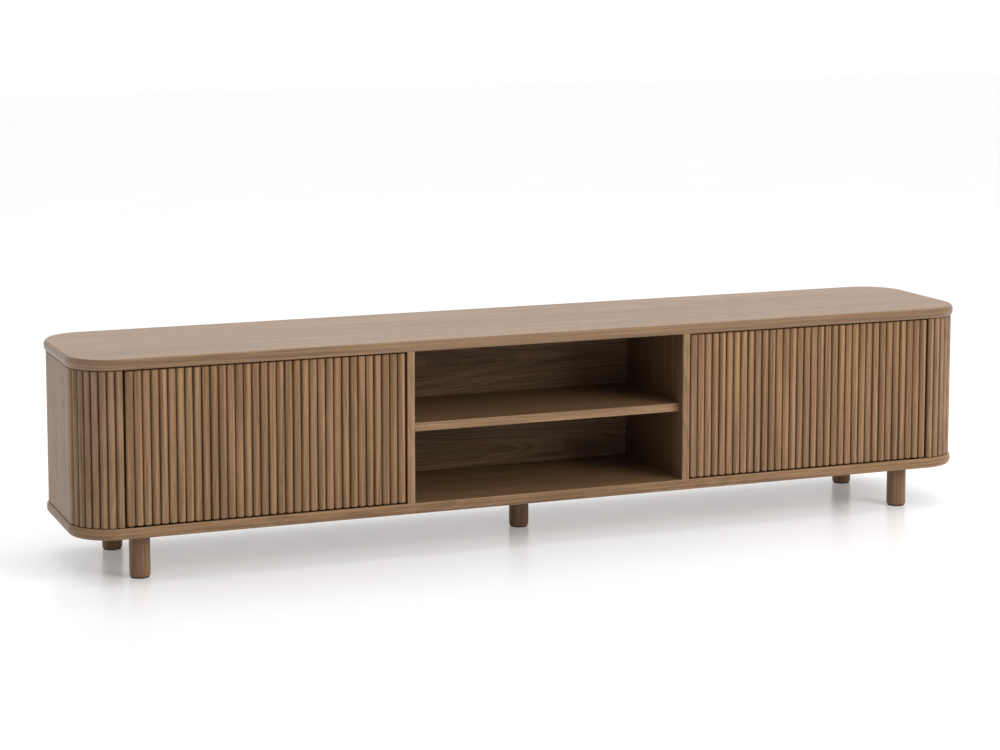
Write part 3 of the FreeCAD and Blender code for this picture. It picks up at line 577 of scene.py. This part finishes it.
# ---- Legs ----
# Five turned oak dowels, 42 mm across: four near the corners and one under the middle. Each is held by a
# hidden bolt, and its foot is eased and shod with a dark glide.
LEG_FOOT_ROUND = 0.0025
END_RUN = 0.0005
LEG_LIGHT = (0.240, 0.136, 0.070)
LEG_DARK = (0.124, 0.066, 0.031)
LEG_OAK = oak("oak_leg", "grain", 5.0, 0.35, 0.8, 0.5, LEG_LIGHT, LEG_DARK)


def eased_ends(low, high, ease, steps):
    """Rows (inset, z) of a straight piece whose two ends are rounded off by a quarter circle each.

    At an angle a of the quarter circle, the inset is ease times 1 - sin a at the foot and 1 - cos a at the
    head.
    """
    angle = np.linspace(0, math.pi / 2, steps)
    under = np.stack([ease * (1 - np.sin(angle)), low + ease * (1 - np.cos(angle))], 1)
    above = np.stack([ease * (1 - np.cos(angle)), high - ease * (1 - np.sin(angle))], 1)
    return np.concatenate([[[ease + END_RUN, low]], under, above, [[ease + END_RUN, high]]])


def turned_outline(centre, radius, steps=25):
    """Front and back half circles, from left to right: centre - radius * (cos a, sin a), and its mirror."""
    angle = np.linspace(0, math.pi, steps)
    across = -np.cos(angle) * radius
    out = np.sin(angle) * radius
    front = np.stack([centre[0] + across, centre[1] - out], 1)
    back = np.stack([centre[0] + across, centre[1] + out], 1)
    return front[1:-1], back[1:-1]


for number, place in enumerate(("front_left", "rear_left", "front_right", "rear_right", "centre")):
    low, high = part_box("leg_" + place)
    front, back = turned_outline((low + high) / 2, (high.x - low.x) / 2)
    rows = carried(front, back, eased_ends(low.z, high.z, LEG_FOOT_ROUND, 6))
    leg = strip_solid("turned_leg_" + place, rows, "upright", LEG_OAK, (number * 0.37, number * 0.61, 0.1))
    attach(leg, "carcass")
    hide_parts("leg_" + place)

# ---- Sides, corner posts and dividers ----
# The two ends are smooth boards. The front corners are quarter-round posts with reeds of the door's pitch,
# the rear corners are plain quarter-rounds, and a flat divider stands at each side of the open bay. All
# have upright grain.
BODY_LIGHT = (0.262, 0.150, 0.075)
BODY_DARK = (0.131, 0.071, 0.033)
BODY_OAK = oak("oak_body_veneer", "grain", 9.0, 0.5, 0.9, 0.6, BODY_LIGHT, BODY_DARK, lacquer=1.28)
REED_RISE = 0.006
POST_REEDS = 7
POST_WALL = 0.022
REED_STEPS = 9
SLAT_GAP = 0.0004
SLATS = 32
LEAD_CURVE = 2.2              # how the last groove runs out into the smooth side
POST_PAINTED_SHADE = 1.7              # how much of the painted groove shade the posts' grooves get
REVEAL_TALL = 0.002           # shadow groove between the body and the two boards
REVEAL_DEEP = 0.0045
SAME_POINT = 1e-6
slat_low, slat_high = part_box("left_door_slats")
REED_PITCH = (slat_high.x - slat_low.x + SLAT_GAP) / SLATS


def post_outline(low, high):
    """Runs and insets of the left front post's outer line, and the body's outline that it follows.

    The outer line follows the body's outline by its run from the door gap: straight for the first stretch,
    then a quarter circle of the corner radius about (cx, cy). Over each pitch it is set in by a circular
    arc as deep as a reed rises, then it comes out over half a pitch and is not set in on the smooth rest.
    """
    radius = high[1] - low[1]
    cx, cy = low[0] + radius, high[1]
    straight = high[0] - cx
    total = straight + radius * math.pi / 2
    share = np.linspace(-1, 1, REED_STEPS)
    chord = REED_PITCH / 2
    bend = (chord ** 2 + REED_RISE ** 2) / (2 * REED_RISE)
    sink = bend - np.sqrt(bend ** 2 - (share * chord) ** 2)
    runs, insets = [], []
    for reed in range(POST_REEDS):
        runs.append((reed + 0.5 + share / 2) * REED_PITCH)
        insets.append(sink)
    lead = np.linspace(0, 1, 6)[1:]
    runs.append((POST_REEDS + lead / 2) * REED_PITCH)
    insets.append(REED_RISE * (1 - lead) ** LEAD_CURVE)
    rest = np.linspace((POST_REEDS + 0.5) * REED_PITCH, total, 7)[1:]
    runs.append(rest)
    insets.append(np.zeros(len(rest)))
    run, inset = np.concatenate(runs), np.concatenate(insets)
    return run, inset, cx, cy, radius, straight, total


def along_body(run, inset, cx, cy, radius, straight):
    """Plan points at a run along the body's outline from the door gap, set in by inset."""
    angle = np.maximum(run - straight, 0) / radius
    on_line = run <= straight
    x = np.where(on_line, cx + straight - run, cx - (radius - inset) * np.sin(angle))
    y = np.where(on_line, cy - radius + inset, cy - (radius - inset) * np.cos(angle))
    return np.stack([x, y], 1)


def mirror_x(points):
    """The same points on the other side of the cabinet's middle."""
    turned = points.copy()
    turned[:, 0] *= -1
    return turned


def body_rows(outer, grooved, inner, low, high):
    """Rows of a body piece: a shadow groove round its foot and its head, and the full outline between."""
    full, cut = np.concatenate([outer, inner[::-1]]), np.concatenate([grooved, inner[::-1]])
    foot, head = low + REVEAL_TALL, high - REVEAL_TALL
    levels = ((cut, low), (cut, foot), (full, foot), (full, head), (cut, head), (cut, high))
    return np.stack([np.column_stack([plan, np.full(len(plan), z)]) for plan, z in levels])


def body_strip(name, side, outer, grooved, inner, low, high, node, offset, painted_groove_shade=None):
    """A piece of the body in place of a CAD node, given by its left side's lines."""
    if side == "right":
        outer, grooved, inner = mirror_x(outer), mirror_x(grooved), mirror_x(inner)
    rows = body_rows(outer, grooved, inner, low, high)
    piece = strip_solid(name, rows, "upright", BODY_OAK, offset, painted_groove_shade=painted_groove_shade)
    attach(piece, "carcass")
    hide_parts(node)


for number, side in enumerate(("left", "right")):
    low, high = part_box("left_front_corner")
    run, inset, cx, cy, radius, straight, total = post_outline(low, high)
    outer = along_body(run, inset, cx, cy, radius, straight)
    keep = np.concatenate([[True], np.linalg.norm(np.diff(outer, axis=0), axis=1) > SAME_POINT])
    outer, run, inset = outer[keep], run[keep], inset[keep]
    grooved = along_body(run, np.maximum(inset, REVEAL_DEEP), cx, cy, radius, straight)
    inner = along_body(np.linspace(0, total, len(outer)), POST_WALL, cx, cy, radius, straight)
    # Painted shade in the post's grooves, darkest on the face inside the door gap.
    painted_groove_shade = np.concatenate([POST_PAINTED_SHADE * (inset / REED_RISE) ** 2, np.zeros(len(inner))])
    painted_groove_shade[-1] = 2
    body_strip(side + "_reeded_post", side, outer, grooved, inner, low.z, high.z, side + "_front_corner",
               (number, 0.35, 0), painted_groove_shade)

    low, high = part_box("left_rear_corner")
    radius = high.y - low.y
    angle = np.linspace(0, math.pi / 2, 15)
    near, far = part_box("left_side_panel")
    wall = far.x - near.x
    ring = np.stack([-np.cos(angle), np.sin(angle)], 1)
    centre = np.array([low.x + radius, low.y])
    body_strip(side + "_rear_round", side, centre + ring * radius, centre + ring * (radius - REVEAL_DEEP),
               centre + ring * (radius - wall), low.z, high.z, side + "_rear_corner", (number, 0.9, 0))

    low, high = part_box("left_side_panel")
    y = np.linspace(low.y, high.y, 5)
    outer, grooved, inner = (np.stack([np.full(5, x), y], 1) for x in (low.x, low.x + REVEAL_DEEP, high.x))
    body_strip(side + "_end_board", side, outer, grooved, inner, low.z, high.z, side + "_side_panel",
               (number, 0.5, 0))


def dress(node, material):
    """Gives a CAD node one material."""
    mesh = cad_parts[node].data
    mesh.materials.clear()
    mesh.materials.append(material)


# Painted shade: darker copies of the oak for the dividers, inner sides and shelves, whose faces lie in the
# shade inside the bays. Their front strips are lightened back out of it.
PAINTED_SHADE_INSIDE_LIGHT = (0.196, 0.115, 0.060)
PAINTED_SHADE_INSIDE_DARK = (0.103, 0.058, 0.029)
DIVIDER_LIPPING = -0.181      # back of the solid strip on the front edge
UPRIGHT_OAK = oak("oak_upright_board", "ZYX", 14.0, 0.35, 0.55, 0.5, PAINTED_SHADE_INSIDE_LIGHT, PAINTED_SHADE_INSIDE_DARK, lacquer=1.2,
                  lipping=DIVIDER_LIPPING)
for side in ("left", "right"):
    for part in ("divider", "inner_side"):
        dress(f"{side}_{part}", UPRIGHT_OAK)

# ---- Backs and shelves ----
# Veneered boards with level grain. The middle back is set in to leave room for cables behind it, and the
# shelves lie on steel pins.
BACK_LIGHT = (0.240, 0.149, 0.084)
BACK_DARK = (0.124, 0.074, 0.040)
SHELF_LIPPING = -0.161        # the same for the middle shelf
BACK_OAK = oak("oak_back_veneer", "XZY", 21.09, 0.65, 0.45, 0.5, BACK_LIGHT, BACK_DARK, lacquer=1.2)
# The shelves carry the painted shade of the inside colours too.
SHELF_OAK = oak("oak_shelf_veneer", "XYZ", 27.0, 0.35, 0.5, 0.45, PAINTED_SHADE_INSIDE_LIGHT, PAINTED_SHADE_INSIDE_DARK, lacquer=1.2,
                lipping=SHELF_LIPPING)
for node in ("left_back_panel", "right_back_panel", "centre_back_panel"):
    dress(node, BACK_OAK)
for node in ("left_shelf", "right_shelf", "centre_shelf"):
    dress(node, SHELF_OAK)

# ---- Doors ----
# Each door is a flat 16 mm board with 32 half-round slats glued on, between two solid stiles whose fronts
# are reeds too.
DOOR_LIGHT = (0.330, 0.190, 0.094)
DOOR_DARK = (0.175, 0.096, 0.044)
DOOR_OAK = oak("oak_door_slats", "grain", 33.0, 0.45, 0.75, 0.7, DOOR_LIGHT, DOOR_DARK, lean=0.11)
CORE_OAK = oak("oak_door_board", "ZXY", 38.0, 0.45, 0.5, 0.5)
SLAT_EASE = 0.0014
SLAT_PAINTED_SHADE = 1.3              # how much of the painted groove shade the doors' grooves get
SLAT_SHIFT = 0.004            # spread of the grain's place from slat to slat
SLAT_SHADE = 0.03             # spread of the shade from slat to slat
chance = np.random.default_rng(7)


def reed_outline(left, right, crest, back, rise):
    """Front, back and painted groove shade of one reed, with a flat back.

    The front is the arc y = crest + R - sqrt(R squared - d squared) at a distance d from the reed's middle,
    with the radius R from the half width and the rise. The painted shade grows with the square of the depth,
    and the two back corners, on the faces inside the gaps beside the reed, get painted shade too.
    """
    share = np.linspace(-1, 1, 2 * REED_STEPS - 1)
    chord = (right - left) / 2
    bend = (chord ** 2 + rise ** 2) / (2 * rise)
    x = (left + right) / 2 + share * chord
    y = crest + bend - np.sqrt(bend ** 2 - (share * chord) ** 2)
    painted_groove_shade = np.concatenate([SLAT_PAINTED_SHADE * ((y - crest) / rise) ** 2, np.zeros(len(x))])
    painted_groove_shade[[len(x), -1]] = 1
    return np.stack([x, y], 1), np.stack([x, np.full(len(x), back)], 1), painted_groove_shade


for side in ("left", "right"):
    low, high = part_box(f"{side}_door_slats")
    profile = eased_ends(low.z, high.z, SLAT_EASE, 5)
    for slat in range(SLATS):
        start = low.x + slat * REED_PITCH
        front, back, painted_groove_shade = reed_outline(start, start + REED_PITCH - SLAT_GAP, low.y, high.y, REED_RISE)
        offset = (SLAT_SHIFT * chance.normal(), start - low.x, 0)
        rows = carried(front, back, profile)
        reed = strip_solid(f"{side}_slat_{slat + 1:02d}", rows, "upright", DOOR_OAK, offset,
                           chance.normal(0, SLAT_SHADE), painted_groove_shade=painted_groove_shade)
        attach(reed, f"{side}_door")
        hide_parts(f"{side}_door_slats")
    for edge in ("hinge", "meeting"):
        near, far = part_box(f"{side}_door_{edge}_stile")
        front, back, painted_groove_shade = reed_outline(near.x, far.x, near.y, far.y, REED_RISE)
        stile = strip_solid(f"{side}_{edge}_stile_strip", carried(front, back, profile), "upright", DOOR_OAK,
                            (0, near.x - low.x, 0), chance.normal(0, SLAT_SHADE), painted_groove_shade=painted_groove_shade)
        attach(stile, f"{side}_door")
        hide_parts(f"{side}_door_{edge}_stile")
    dress(f"{side}_door_core", CORE_OAK)

# ---- Metal and plastic ----
# Zinc-plated fittings, bronzed door pivots, white plastic latches and bushes, brown cable rings and washers,
# dark glides, nickel-plated magnets and beech dowels. Each row gives a finish and the nodes that have it.
for name, colour, roughness, metallic, nodes_of in (
    ("zinc_plated_steel", (0.55, 0.55, 0.56), 0.32, 1.0, (
        "shelf_pins", "leg_bolts", "leg_inserts", "cam_locks", "cam_bolts", "back_screws", "latch_screws",
        "left_strike_plate", "right_strike_plate", "left_strike_screw", "right_strike_screw",
        "left_latch_spring", "right_latch_spring")),
    ("bronzed_steel", (0.05, 0.035, 0.028), 0.45, 1.0, ("pivot_plates", "pivot_pins", "pivot_screws")),
    ("white_acetal", (0.72, 0.71, 0.68), 0.42, 0.0, (
        "left_door_bushes", "right_door_bushes", "left_latch_housing", "right_latch_housing",
        "left_latch_plunger", "right_latch_plunger")),
    ("brown_plastic", (0.07, 0.045, 0.03), 0.5, 0.0, ("cable_grommets", "thrust_washers")),
    ("dark_glide", (0.035, 0.025, 0.02), 0.8, 0.0, ("foot_glides",)),
    ("nickel_magnet", (0.62, 0.61, 0.60), 0.2, 1.0, ("left_plunger_magnet", "right_plunger_magnet")),
    ("beech_dowel", (0.55, 0.38, 0.22), 0.6, 0.0, ("dowels",)),
):
    material = painted(name, colour, roughness)
    material.node_tree.nodes["Principled BSDF"].inputs["Metallic"].default_value = metallic
    for node in nodes_of:
        dress(node, material)
